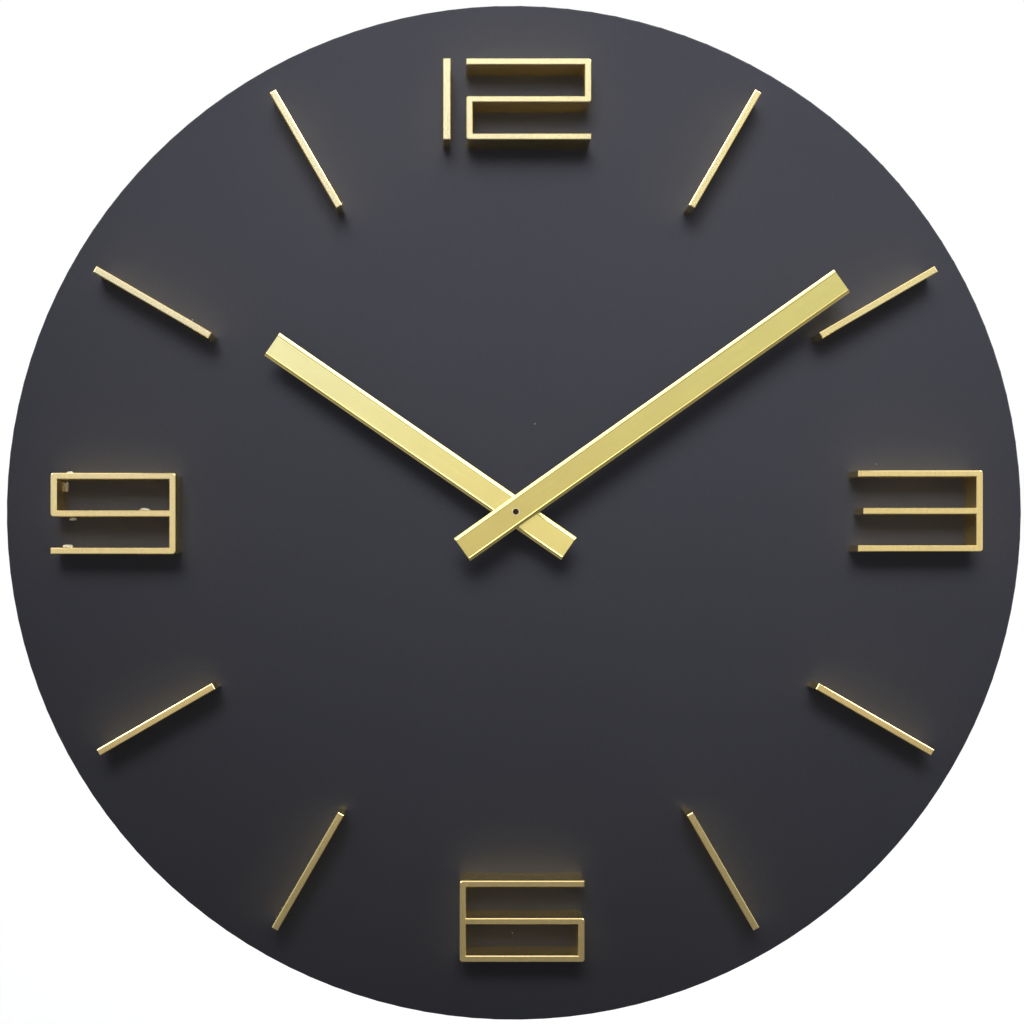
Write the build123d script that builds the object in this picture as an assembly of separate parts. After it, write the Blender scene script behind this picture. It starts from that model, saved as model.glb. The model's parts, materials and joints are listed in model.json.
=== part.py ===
from build123d import *

import os
from math import acos, atan2, cos, degrees, pi, radians, sin, tan

# A round quartz wall clock. Millimetres, +Z up, +X to the right as the clock is read.
# The origin is on the hands' axis, in the plane of the wall behind the clock, and the dial faces -Y.
# Depths are distances in front of the wall, so a depth of 24 is y = -24.
# Flat outlines are drawn in X and Z as seen from the front, and angles there are anticlockwise from +X.

# Dial board
DIAL_RADIUS = 250.0
DIAL_BACK = 18.0
DIAL_FRONT = 24.0
DIAL_EDGE_ROUND = 0.8

# Numerals and hour bars: flat bar, standing on its edge on the dial
BAR_HEIGHT = 15.0
BAR_FRONT = DIAL_FRONT + BAR_HEIGHT
STROKE = 3.0
ONE_STROKE = 3.5
HOUR_BAR_STROKE = 3.2
BEND_CORNER = 1.4
STROKE_CHAMFER = 0.35
NUMERAL_WIDTH = 60.0
NUMERAL_HEIGHT = 39.0
TWO_CENTRE = (6.4, 198.6)
ONE_CENTRE = (-33.0, 198.6)
THREE_CENTRE = (194.8, 0.4)
THREE_MIDDLE_INSET = 2.6
SIX_CENTRE = (3.2, -197.0)
NINE_CENTRE = (-193.6, -0.8)
HOUR_BAR_LENGTH = 64.0
UPPER_BAR_RADIUS = 201.6
LOWER_BAR_RADIUS = 199.7
UPPER_HOURS = (1, 2, 10, 11)
LOWER_HOURS = (4, 5, 7, 8)

# Glue beads at the foot of the 9
GLUE_RISE = 2.2
GLUE_SPREAD = 1.7

# Hands, shown at nine minutes past ten
MINUTES = 9.12
MINUTE_ANGLE = MINUTES * 6.0
HOUR_ANGLE = 300.0 + MINUTES / 2.0
HAND_THICKNESS = 1.5
HAND_OUTER_FACET = (0.9, 0.25)
HAND_INNER_FACET = (0.5, 0.4)
HAND_RECESS = 0.25
HAND_RECESS_WALL = 0.3
HAND_END_BEVEL = 0.45
MINUTE_TIP = 191.3
MINUTE_TAIL = 31.5
MINUTE_WIDTH = 13.3
MINUTE_BACK = 40.4
HOUR_TIP = 142.3
HOUR_TAIL = 31.2
HOUR_WIDTH = 13.1
HOUR_BACK = 37.2

# Movement case
CASE_SIZE = 56.0
CASE_CORNER = 3.0
CASE_DEPTH = 16.0
CASE_WALL = 1.2
COVER_THICKNESS = 1.6
FLOOR = CASE_DEPTH - 1.4
CASE_INSIDE = CASE_SIZE / 2 - CASE_WALL

# Hooks of the rear cover, which snap into windows in the walls of the front case
HOOK_WIDTH = 6.0
HOOK_SHEET = 0.8
HOOK_LENGTH = 5.4
HOOK_CATCH = 0.7
WINDOW_DEPTHS = (3.4, 5.2)
WINDOW_CLEARANCE = 0.3
CATCH_CLEARANCE = 0.2
HOOK_PLACES = ((0.0, -14.0), (0.0, 14.0), (90.0, -17.0), (-90.0, 17.0))

# Battery, an AA cell lying across the bottom of the case
CELL_RADIUS = 7.25
CELL_LENGTH = 49.2
CELL_NUB_RADIUS = 2.75
CELL_NUB_LENGTH = 1.3
CELL_Z = -19.9
CELL_DEPTH = 7.85
BAY_CLEARANCE = 0.3
BAY_TOP = CELL_Z + CELL_RADIUS + BAY_CLEARANCE
BAY_BOTTOM = CELL_Z - CELL_RADIUS - BAY_CLEARANCE
PARTITION = 0.8

# Fixing stack between the case and the dial
BUSH_RADIUS = 4.0
BUSH_FRONT = 29.0
THREAD_PITCH = 0.75
THREAD_DEPTH = 0.35
HANGER_SHEET = 1.0
WASHER_RADIUS = 7.5
WASHER_THICKNESS = 0.6
NUT_ACROSS_FLATS = 12.0
NUT_THICKNESS = 2.5
STACK_HOLE = BUSH_RADIUS + 0.05

# Arbors
RUNNING = 0.08
PIVOT_CLEARANCE = 0.06
MINUTE_TUBE_RADIUS = 1.75
MINUTE_TUBE_FRONT = 42.1
MINUTE_MOUTH_RADIUS = 1.4
MINUTE_MOUTH_DEPTH = 3.0
MINUTE_TUBE_REAR_RADIUS = 1.0
HOUR_TUBE_RADIUS = 2.55
HOUR_TUBE_FRONT = 38.4
SECONDS_ARBOR_RADIUS = 0.5
SECONDS_ARBOR_FRONT = 40.3
PIVOT_RADIUS = 0.4
ROTOR_PIVOT_RADIUS = 0.3
SETTING_SHAFT_RADIUS = 0.8
POST_RADIUS = 0.6

# Gear teeth
PRESSURE_ANGLE = radians(20.0)
ADDENDUM = 0.7
DEDENDUM = 1.15
TOOTH_GAP = 0.13
CENTRE_TEETH = 64
THIRD_PINION_TEETH = 8
CENTRE_MODULE = 0.25
THIRD_TEETH = 60
SECONDS_PINION_TEETH = 8
SECONDS_TEETH = 40
INTERMEDIATE_PINION_TEETH = 10
SECONDS_MODULE = 0.28
INTERMEDIATE_TEETH = 60
ROTOR_PINION_TEETH = 8
ROTOR_MODULE = 0.2
CANNON_TEETH = 12
MOTION_TEETH = 36
CANNON_MODULE = 0.3125
MOTION_PINION_TEETH = 10
HOUR_TEETH = 40
HOUR_MODULE = 0.3

# Depths of the wheels
HOUR_WHEEL_DEPTHS = (13.2, 14.2)
MOTION_PINION_DEPTHS = (12.4, 14.2)
MOTION_WHEEL_DEPTHS = (11.4, 12.4)
CANNON_DEPTHS = (11.0, 12.9)
CENTRE_WHEEL_DEPTHS = (9.6, 10.4)
PLATE_DEPTHS = (8.0, 9.0)
THIRD_PINION_DEPTHS = (9.3, 10.9)
THIRD_WHEEL_DEPTHS = (6.8, 7.4)
SECONDS_PINION_DEPTHS = (6.0, 7.8)
SECONDS_WHEEL_DEPTHS = (5.2, 6.0)
INTERMEDIATE_PINION_DEPTHS = (4.6, 6.3)
INTERMEDIATE_WHEEL_DEPTHS = (4.0, 4.6)
ROTOR_PINION_DEPTHS = (3.7, 5.2)
MAGNET_DEPTHS = (5.4, 7.6)
STATOR_DEPTHS = (6.2, 6.8)
BOARD_DEPTHS = (6.9, 7.7)
KNOB_DEPTHS = (0.4, 2.5)
CUP_FLOOR_DEPTHS = (2.8, 3.5)

MAGNET_RADIUS = 2.5
STATOR_HOLE = 2.9
STATOR_RING = 5.0
STATOR_ARM = 3.0
STATOR_REACH = 13.5
COIL_Z = 21.0
COIL_LENGTH = 22.0
BOBBIN_RADIUS = 3.7
WINDING_RADIUS = 3.2
BOBBIN_TUBE = 2.0
KNOB_RADIUS = 5.0
CUP_RADIUS = 5.6
BOSS_RADIUS = 1.3


def pitch_radius(teeth, module):
    return teeth * module / 2


def mesh_distance(teeth, other_teeth, module):
    return (teeth + other_teeth) * module / 2


def polar(start, distance, angle):
    """The point at a distance from a start point, along an angle in degrees."""
    return (start[0] + distance * cos(radians(angle)), start[1] + distance * sin(radians(angle)))


def bearing(start, end):
    """The angle in degrees from one point to another."""
    return degrees(atan2(end[1] - start[1], end[0] - start[0]))


# Where the arbors stand, in X and Z. The centre distance of the third wheel serves two pairs of wheels.
HANDS_AXIS = (0.0, 0.0)
THIRD_DISTANCE = mesh_distance(CENTRE_TEETH, THIRD_PINION_TEETH, CENTRE_MODULE)
THIRD_MODULE = 2 * THIRD_DISTANCE / (THIRD_TEETH + SECONDS_PINION_TEETH)
THIRD_AXIS = polar(HANDS_AXIS, THIRD_DISTANCE, 180.0)
INTERMEDIATE_AXIS = polar(
    HANDS_AXIS, mesh_distance(SECONDS_TEETH, INTERMEDIATE_PINION_TEETH, SECONDS_MODULE), 35.0
)
ROTOR_AXIS = polar(
    INTERMEDIATE_AXIS, mesh_distance(INTERMEDIATE_TEETH, ROTOR_PINION_TEETH, ROTOR_MODULE), 50.0
)
MOTION_AXIS = polar(HANDS_AXIS, mesh_distance(CANNON_TEETH, MOTION_TEETH, CANNON_MODULE), -25.0)
SETTING_AXIS = polar(MOTION_AXIS, mesh_distance(CANNON_TEETH, MOTION_TEETH, CANNON_MODULE), -5.0)


def slab(outline, back, front):
    """A flat outline given thickness between two depths."""
    return extrude(Plane.XZ.offset(back) * outline, amount=front - back)


def disc(radius, centre=HANDS_AXIS):
    return Pos(*centre) * Circle(radius)


def rod(radius, back, front, centre=HANDS_AXIS):
    return slab(disc(radius, centre), back, front)


def ring(outer, inner, back, front, centre=HANDS_AXIS):
    return slab(disc(outer, centre) - disc(inner, centre), back, front)


def rectangle(left, bottom, right, top):
    return Pos((left + right) / 2, (bottom + top) / 2) * Rectangle(right - left, top - bottom)


def block(left, bottom, right, top, back, front):
    return slab(rectangle(left, bottom, right, top), back, front)


def front_face(solid):
    return solid.faces().sort_by(Axis.Y)[0]


def turned(solid, clock_angle):
    """Turn a piece drawn at twelve o'clock to another place on the dial."""
    return Rot(0, clock_angle, 0) * solid


# --- gears ----------------------------------------------------------------------------------------


def gear_outline(teeth, module, centre, phase):
    """Spur gear with stub involute teeth, one tooth centred on the phase angle, in degrees."""
    pitch = pitch_radius(teeth, module)
    base = pitch * cos(PRESSURE_ANGLE)
    involute_at_pitch = tan(PRESSURE_ANGLE) - PRESSURE_ANGLE
    half_tooth = pi / teeth * (0.5 - TOOTH_GAP)

    def half_angle(radius):
        roll = acos(min(1.0, base / radius))
        return half_tooth + involute_at_pitch - (tan(roll) - roll)

    flank = []
    for radius in (pitch - DEDENDUM * module, pitch, pitch + ADDENDUM * module):
        flank.append((radius, half_angle(radius)))
    points = []
    for tooth in range(teeth):
        middle = radians(phase) + 2 * pi * tooth / teeth
        for radius, half in flank:
            points.append((radius, middle - half))
        for radius, half in reversed(flank):
            points.append((radius, middle + half))
    corners = [(centre[0] + r * cos(a), centre[1] + r * sin(a)) for r, a in points]
    return make_face(Polyline(*corners, close=True))


def meshed_phase(driver_teeth, driver_phase, driver_centre, teeth, centre):
    """The phase that puts a gear's gap over the tooth of the gear that it meshes with."""
    line = bearing(driver_centre, centre)
    past_tooth = (line - driver_phase) * driver_teeth / 360.0
    return line + 180.0 + (past_tooth + 0.5) * 360.0 / teeth


def gear(teeth, module, centre, phase, depths):
    return slab(gear_outline(teeth, module, centre, phase), *depths)


# --- dial, numerals and bars ----------------------------------------------------------------------


def dial_board():
    board = rod(DIAL_RADIUS, DIAL_BACK, DIAL_FRONT)
    board = fillet(board.edges(), DIAL_EDGE_ROUND)
    return board - rod(STACK_HOLE, DIAL_BACK - 1, DIAL_FRONT + 1)


def bent_strip(left, bottom, right, top):
    """One straight stroke of flat bar, with the corners eased where the bar is bent."""
    size = (right - left, top - bottom)
    return Pos((left + right) / 2, (bottom + top) / 2) * RectangleRounded(*size, BEND_CORNER)


def raised(outline):
    """Stand a stroke outline on the dial and break the edges of its front face."""
    solid = slab(outline, DIAL_FRONT, BAR_FRONT)
    return chamfer(front_face(solid).edges(), STROKE_CHAMFER)


def numeral(centre, strokes, free_ends, middle_inset=0.0):
    """A numeral of flat bar. Strokes and square-cut free ends are named by their place."""
    left = centre[0] - NUMERAL_WIDTH / 2
    right = centre[0] + NUMERAL_WIDTH / 2
    bottom = centre[1] - NUMERAL_HEIGHT / 2
    top = centre[1] + NUMERAL_HEIGHT / 2
    low_middle = centre[1] - STROKE / 2
    high_middle = centre[1] + STROKE / 2
    middle_left = left + middle_inset
    stroke_places = {
        "top": (left, top - STROKE, right, top),
        "middle": (middle_left, low_middle, right, high_middle),
        "bottom": (left, bottom, right, bottom + STROKE),
        "upper_left": (left, low_middle, left + STROKE, top),
        "lower_left": (left, bottom, left + STROKE, high_middle),
        "upper_right": (right - STROKE, low_middle, right, top),
        "lower_right": (right - STROKE, bottom, right, high_middle),
        "left": (left, bottom, left + STROKE, top),
        "right": (right - STROKE, bottom, right, top),
    }
    end_places = {
        "top_left": (left, top - STROKE, left + STROKE, top),
        "top_right": (right - STROKE, top - STROKE, right, top),
        "middle_left": (middle_left, low_middle, middle_left + STROKE, high_middle),
        "bottom_left": (left, bottom, left + STROKE, bottom + STROKE),
        "bottom_right": (right - STROKE, bottom, right, bottom + STROKE),
    }
    outline = bent_strip(*stroke_places[strokes[0]])
    for stroke in strokes[1:]:
        outline += bent_strip(*stroke_places[stroke])
    for end in free_ends:
        outline += rectangle(*end_places[end])
    return raised(outline)


def numeral_one():
    half_width = ONE_STROKE / 2
    half_height = NUMERAL_HEIGHT / 2
    x, z = ONE_CENTRE
    return raised(rectangle(x - half_width, z - half_height, x + half_width, z + half_height))


def hour_bar(hour):
    radius = UPPER_BAR_RADIUS if hour in UPPER_HOURS else LOWER_BAR_RADIUS
    half_width = HOUR_BAR_STROKE / 2
    half_length = HOUR_BAR_LENGTH / 2
    bar = raised(rectangle(-half_width, radius - half_length, half_width, radius + half_length))
    return turned(bar, hour * 30.0)


def glue_bead(x, z, length, heading):
    """A bead in the corner between a strip and the dial, from x, z along a heading in degrees.

    It lies on the left of its heading, as seen from the front.
    """
    section = make_face(
        Line((0, 0), (GLUE_SPREAD, 0))
        + RadiusArc((GLUE_SPREAD, 0), (0, GLUE_RISE), -2 * GLUE_RISE)
        + Line((0, GLUE_RISE), (0, 0))
    )
    along = Vector(cos(radians(heading)), 0, sin(radians(heading)))
    across = Vector(-sin(radians(heading)), 0, cos(radians(heading)))
    foot = Plane(origin=(x, -DIAL_FRONT, z), x_dir=across, z_dir=along)
    return extrude(foot * section, amount=length)


def glue_beads():
    left = NINE_CENTRE[0] - NUMERAL_WIDTH / 2
    right = NINE_CENTRE[0] + NUMERAL_WIDTH / 2
    z = NINE_CENTRE[1]
    half = NUMERAL_HEIGHT / 2
    beads = [
        glue_bead(left + 3.5, z + half, 3.5, 0.0),
        glue_bead(left + STROKE, z + 16.0, 5.0, -90.0),
        glue_bead(left + 8.5, z - STROKE / 2, 3.5, 180.0),
        glue_bead(left + 39.5, z + STROKE / 2, 5.0, 0.0),
        glue_bead(right - STROKE - 3.2, z + STROKE / 2, 3.0, 0.0),
        glue_bead(left + 1.2, z - half + STROKE, 5.8, 0.0),
    ]
    return Compound(children=beads)


# --- hands ----------------------------------------------------------------------------------------


def hand(tip, tail, width, back, hole_radius, clock_angle):
    """A straight hand, drawn upright and turned to its place.

    Each long edge rises in two facets, the inner one steeper, to a ridge. The face between the two
    ridges lies a little lower. Facets are given as width and rise.
    """
    half = width / 2
    knee = half - HAND_OUTER_FACET[0]
    ridge = knee - HAND_INNER_FACET[0]
    knee_front = HAND_THICKNESS - HAND_INNER_FACET[1]
    shoulder = knee_front - HAND_OUTER_FACET[1]
    one_side = [
        (half, 0),
        (half, shoulder),
        (knee, knee_front),
        (ridge, HAND_THICKNESS),
        (ridge - HAND_RECESS_WALL, HAND_THICKNESS - HAND_RECESS),
    ]
    other_side = [(-x, depth) for x, depth in reversed(one_side)]
    section = Polygon(*one_side, *other_side, align=None)
    foot = Plane(origin=(0, -back, -tail), x_dir=(-1, 0, 0), z_dir=(0, 0, 1))
    blade = extrude(foot * section, amount=tip + tail)
    for end, inward in ((-tail, 1), (tip, -1)):
        blade -= end_wedge(end, inward, width, back + HAND_THICKNESS)
    blade -= rod(hole_radius, back - 1, back + HAND_THICKNESS + 1)
    return turned(blade, clock_angle)


def end_wedge(end, inward, width, front):
    """What is cut from a square end of a hand to bevel its front edge."""
    size = HAND_END_BEVEL
    triangle = Polygon((-front, end), (-front + size, end), (-front, end + inward * size), align=None)
    side = Plane(origin=(-width, 0, 0), x_dir=(0, 1, 0), z_dir=(1, 0, 0))
    return extrude(side * triangle, amount=2 * width)


def minute_hand():
    return hand(MINUTE_TIP, MINUTE_TAIL, MINUTE_WIDTH, MINUTE_BACK, MINUTE_TUBE_RADIUS, MINUTE_ANGLE)


def hour_hand():
    return hand(HOUR_TIP, HOUR_TAIL, HOUR_WIDTH, HOUR_BACK, HOUR_TUBE_RADIUS, HOUR_ANGLE)


def minute_collet():
    return ring(3.2, MINUTE_TUBE_RADIUS, MINUTE_BACK - 1.1, MINUTE_BACK)


def hour_collet():
    flange = ring(5.4, HOUR_TUBE_RADIUS, HOUR_BACK - 0.8, HOUR_BACK)
    return flange + ring(3.8, HOUR_TUBE_RADIUS, HOUR_BACK - 4.0, HOUR_BACK)


# --- motion work, which carries the hands ---------------------------------------------------------

CANNON_PHASE = 0.0
MOTION_PHASE = meshed_phase(CANNON_TEETH, CANNON_PHASE, HANDS_AXIS, MOTION_TEETH, MOTION_AXIS)
SETTING_PHASE = meshed_phase(MOTION_TEETH, MOTION_PHASE, MOTION_AXIS, CANNON_TEETH, SETTING_AXIS)
HOUR_PHASE = meshed_phase(MOTION_PINION_TEETH, 0.0, MOTION_AXIS, HOUR_TEETH, HANDS_AXIS)


def minute_arbor():
    cannon = gear(CANNON_TEETH, CANNON_MODULE, HANDS_AXIS, CANNON_PHASE, CANNON_DEPTHS)
    tube = rod(MINUTE_TUBE_RADIUS, CANNON_DEPTHS[1], MINUTE_TUBE_FRONT)
    rear = rod(MINUTE_TUBE_REAR_RADIUS, PLATE_DEPTHS[0] + 0.2, CANNON_DEPTHS[0])
    bore = rod(SECONDS_ARBOR_RADIUS + RUNNING, PLATE_DEPTHS[0], MINUTE_TUBE_FRONT + 1)
    mouth = rod(MINUTE_MOUTH_RADIUS, MINUTE_TUBE_FRONT - MINUTE_MOUTH_DEPTH, MINUTE_TUBE_FRONT + 1)
    return cannon + tube + rear - bore - mouth


def clutch_spring():
    """A three-legged star washer on the centre wheel, which slips when the hands are set."""
    back, front = CENTRE_WHEEL_DEPTHS[1] + 0.05, CANNON_DEPTHS[0]
    star = disc(1.9)
    for leg in range(3):
        star += Rot(0, 0, leg * 120.0) * rectangle(0.0, -0.6, 4.6, 0.6)
    plate = slab(star, front - 0.25, front)
    for leg in range(3):
        plate += rod(0.6, back, front, polar(HANDS_AXIS, 4.2, leg * 120.0))
    return plate - rod(MINUTE_TUBE_REAR_RADIUS, back - 1, front + 1)


def hour_wheel():
    wheel = gear(HOUR_TEETH, HOUR_MODULE, HANDS_AXIS, HOUR_PHASE, HOUR_WHEEL_DEPTHS)
    tube = rod(HOUR_TUBE_RADIUS, HOUR_WHEEL_DEPTHS[0], HOUR_TUBE_FRONT)
    bore = rod(MINUTE_TUBE_RADIUS + RUNNING, HOUR_WHEEL_DEPTHS[0] - 1, HOUR_TUBE_FRONT + 1)
    return wheel + tube - bore


def motion_wheel():
    wheel = gear(MOTION_TEETH, CANNON_MODULE, MOTION_AXIS, MOTION_PHASE, MOTION_WHEEL_DEPTHS)
    pinion = gear(MOTION_PINION_TEETH, HOUR_MODULE, MOTION_AXIS, 0.0, MOTION_PINION_DEPTHS)
    return wheel + pinion - rod(POST_RADIUS + RUNNING, 0, CASE_DEPTH, MOTION_AXIS)


def setting_shaft():
    shaft = rod(SETTING_SHAFT_RADIUS, KNOB_DEPTHS[0], FLOOR - 0.2, SETTING_AXIS)
    return shaft + gear(CANNON_TEETH, CANNON_MODULE, SETTING_AXIS, SETTING_PHASE, MOTION_WHEEL_DEPTHS)


def setting_knob():
    outline = disc(KNOB_RADIUS, SETTING_AXIS)
    flutes = 20
    for flute in range(flutes):
        outline -= disc(0.4, polar(SETTING_AXIS, KNOB_RADIUS, flute * 360.0 / flutes))
    knob = slab(outline, *KNOB_DEPTHS)
    return knob - rod(SETTING_SHAFT_RADIUS, 0, KNOB_DEPTHS[1] + 1, SETTING_AXIS)


# --- going train, from the rotor to the centre wheel ----------------------------------------------

THIRD_PHASE = meshed_phase(SECONDS_PINION_TEETH, 0.0, HANDS_AXIS, THIRD_TEETH, THIRD_AXIS)
CENTRE_PHASE = meshed_phase(THIRD_PINION_TEETH, 0.0, THIRD_AXIS, CENTRE_TEETH, HANDS_AXIS)
INTERMEDIATE_PINION_PHASE = meshed_phase(
    SECONDS_TEETH, 0.0, HANDS_AXIS, INTERMEDIATE_PINION_TEETH, INTERMEDIATE_AXIS
)
ROTOR_PHASE = meshed_phase(INTERMEDIATE_TEETH, 0.0, INTERMEDIATE_AXIS, ROTOR_PINION_TEETH, ROTOR_AXIS)


def centre_wheel():
    wheel = gear(CENTRE_TEETH, CENTRE_MODULE, HANDS_AXIS, CENTRE_PHASE, CENTRE_WHEEL_DEPTHS)
    return wheel - rod(MINUTE_TUBE_REAR_RADIUS + 0.05, 0, CASE_DEPTH)


def third_wheel():
    arbor = rod(PIVOT_RADIUS, 5.0, 12.4, THIRD_AXIS)
    pinion = gear(THIRD_PINION_TEETH, CENTRE_MODULE, THIRD_AXIS, 0.0, THIRD_PINION_DEPTHS)
    wheel = gear(THIRD_TEETH, THIRD_MODULE, THIRD_AXIS, THIRD_PHASE, THIRD_WHEEL_DEPTHS)
    return arbor + pinion + wheel


def seconds_arbor():
    arbor = rod(SECONDS_ARBOR_RADIUS, SECONDS_WHEEL_DEPTHS[0], SECONDS_ARBOR_FRONT)
    return arbor + rod(PIVOT_RADIUS, 2.6, SECONDS_WHEEL_DEPTHS[0])


def seconds_wheel():
    wheel = gear(SECONDS_TEETH, SECONDS_MODULE, HANDS_AXIS, 0.0, SECONDS_WHEEL_DEPTHS)
    pinion = gear(SECONDS_PINION_TEETH, THIRD_MODULE, HANDS_AXIS, 0.0, SECONDS_PINION_DEPTHS)
    return wheel + pinion - rod(SECONDS_ARBOR_RADIUS, 0, CASE_DEPTH)


def intermediate_wheel():
    arbor = rod(PIVOT_RADIUS, 2.6, PLATE_DEPTHS[1] - 0.1, INTERMEDIATE_AXIS)
    pinion = gear(
        INTERMEDIATE_PINION_TEETH,
        SECONDS_MODULE,
        INTERMEDIATE_AXIS,
        INTERMEDIATE_PINION_PHASE,
        INTERMEDIATE_PINION_DEPTHS,
    )
    wheel = gear(INTERMEDIATE_TEETH, ROTOR_MODULE, INTERMEDIATE_AXIS, 0.0, INTERMEDIATE_WHEEL_DEPTHS)
    return arbor + pinion + wheel


def rotor_pinion():
    pivot = rod(ROTOR_PIVOT_RADIUS, 2.6, PLATE_DEPTHS[1] - 0.1, ROTOR_AXIS)
    hub = rod(0.8, ROTOR_PINION_DEPTHS[1], MAGNET_DEPTHS[1] + 0.2, ROTOR_AXIS)
    leaves = gear(ROTOR_PINION_TEETH, ROTOR_MODULE, ROTOR_AXIS, ROTOR_PHASE, ROTOR_PINION_DEPTHS)
    return pivot + hub + leaves


def rotor_magnet():
    return ring(MAGNET_RADIUS, 0.8, *MAGNET_DEPTHS, ROTOR_AXIS)


# --- motor and circuit ----------------------------------------------------------------------------

STATOR_LEFT = ROTOR_AXIS[0] - STATOR_REACH
STATOR_RIGHT = ROTOR_AXIS[0] + STATOR_REACH


def stator_plate():
    half = STATOR_ARM / 2
    x, z = ROTOR_AXIS
    outline = disc(STATOR_RING, ROTOR_AXIS)
    outline += rectangle(STATOR_LEFT - half, z - half, STATOR_RIGHT + half, z + half)
    outline += rectangle(STATOR_LEFT - half, z - half, STATOR_LEFT + half, COIL_Z + half)
    outline += rectangle(STATOR_RIGHT - half, z - half, STATOR_RIGHT + half, COIL_Z + half)
    outline += rectangle(STATOR_LEFT - half, COIL_Z - half, STATOR_RIGHT + half, COIL_Z + half)
    outline -= disc(STATOR_HOLE, ROTOR_AXIS)
    notch = 0.9
    for side in (-1, 1):
        outline -= disc(notch, (x, z + side * STATOR_RING))
    return slab(outline, *STATOR_DEPTHS)


def along_coil(radius, start, end):
    """A rod on the coil's axis, which runs along X."""
    middle = (STATOR_DEPTHS[0] + STATOR_DEPTHS[1]) / 2
    place = Plane(origin=(start, -middle, COIL_Z), x_dir=(0, 1, 0), z_dir=(1, 0, 0))
    return extrude(place * Circle(radius), amount=end - start)


def coil_core():
    """The space for the stator's bar through the bobbin."""
    clear = 0.1
    half = STATOR_ARM / 2 + clear
    back = STATOR_DEPTHS[0] - clear
    front = STATOR_DEPTHS[1] + clear
    return block(STATOR_LEFT, COIL_Z - half, STATOR_RIGHT, COIL_Z + half, back, front)


def coil_bobbin():
    start = ROTOR_AXIS[0] - COIL_LENGTH / 2
    end = ROTOR_AXIS[0] + COIL_LENGTH / 2
    bobbin = along_coil(BOBBIN_TUBE, start, end)
    bobbin += along_coil(BOBBIN_RADIUS, start, start + 1) + along_coil(BOBBIN_RADIUS, end - 1, end)
    return bobbin - coil_core()


def coil_winding():
    start = ROTOR_AXIS[0] - COIL_LENGTH / 2 + 1
    end = ROTOR_AXIS[0] + COIL_LENGTH / 2 - 1
    return along_coil(WINDING_RADIUS, start, end) - along_coil(BOBBIN_TUBE, start - 1, end + 1)


BOARD_EDGES = (-25.6, 10.0, -7.0, 26.0)
BOARD_HOLE_INSET = 2.5
BOARD_POST_X = BOARD_EDGES[0] + BOARD_HOLE_INSET
BOARD_POSTS = (
    (BOARD_POST_X, BOARD_EDGES[1] + BOARD_HOLE_INSET),
    (BOARD_POST_X, BOARD_EDGES[3] - BOARD_HOLE_INSET),
)


def circuit_board():
    outline = rectangle(*BOARD_EDGES)
    for post in BOARD_POSTS:
        outline -= disc(0.8, post)
    return slab(outline, *BOARD_DEPTHS)


def chip_blob():
    centre = Vector(-15.0, -BOARD_DEPTHS[0], 18.0)
    dome = Pos(centre.X, centre.Y - 2.2, centre.Z) * Sphere(3.8)
    return dome & block(-25, 8, -5, 28, BOARD_DEPTHS[0] - 3, BOARD_DEPTHS[0])


def quartz_crystal():
    can = extrude(Plane(origin=(-20.5, -5.8, 13.0), z_dir=(1, 0, 0)) * Circle(1.05), amount=6.2)
    return fillet(can.edges(), 0.3)


# --- case -----------------------------------------------------------------------------------------


def case_outline():
    return RectangleRounded(CASE_SIZE, CASE_SIZE, CASE_CORNER)


PLATE_EDGES = (-22.0, -10.9, 22.0, 16.4)
PLATE_POSTS = ((-20.0, -9.0), (20.0, -9.0), (-20.0, 8.0), (20.0, 14.4))


def front_case():
    case = slab(case_outline(), COVER_THICKNESS, CASE_DEPTH)
    case = fillet(front_face(case).edges(), 0.8)
    inside = RectangleRounded(2 * CASE_INSIDE, 2 * CASE_INSIDE, CASE_CORNER - CASE_WALL)
    case -= slab(inside, 0, FLOOR)
    case += block(-CASE_INSIDE + 0.8, BAY_TOP, CASE_INSIDE, BAY_TOP + PARTITION, COVER_THICKNESS, FLOOR)
    bay_floor = CELL_DEPTH + CELL_RADIUS + BAY_CLEARANCE
    case -= block(-CASE_INSIDE + 0.8, BAY_BOTTOM, CASE_INSIDE, BAY_TOP, 0, bay_floor)
    for post in PLATE_POSTS:
        case += rod(BOSS_RADIUS, PLATE_DEPTHS[1], FLOOR, post)
    for post in BOARD_POSTS:
        case += rod(BOSS_RADIUS, BOARD_DEPTHS[1], FLOOR, post)
    case += rod(BOSS_RADIUS, 11.2, FLOOR, THIRD_AXIS)
    case -= rod(PIVOT_RADIUS + PIVOT_CLEARANCE, 11, 12.8, THIRD_AXIS)
    case += rod(POST_RADIUS, 11.0, FLOOR, MOTION_AXIS)
    case += rod(BOSS_RADIUS + 0.5, 13.0, FLOOR, SETTING_AXIS)
    case -= rod(SETTING_SHAFT_RADIUS + RUNNING, 12.9, FLOOR, SETTING_AXIS)
    for angle, offset in HOOK_PLACES:
        case -= at_hook(hook_window(), angle, offset)
    return case - rod(BUSH_RADIUS, 0, CASE_DEPTH + 1)


def at_hook(solid, angle, offset):
    """Move a piece drawn on the top wall along that wall and round to its side of the case."""
    return Rot(0, angle, 0) * Pos(offset, 0, 0) * solid


def hook_window():
    """The opening in a wall of the front case that a hook snaps into, drawn on the top wall."""
    half = HOOK_WIDTH / 2 + WINDOW_CLEARANCE
    return block(-half, CASE_INSIDE - 0.5, half, CASE_SIZE / 2 + 1, *WINDOW_DEPTHS)


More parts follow.
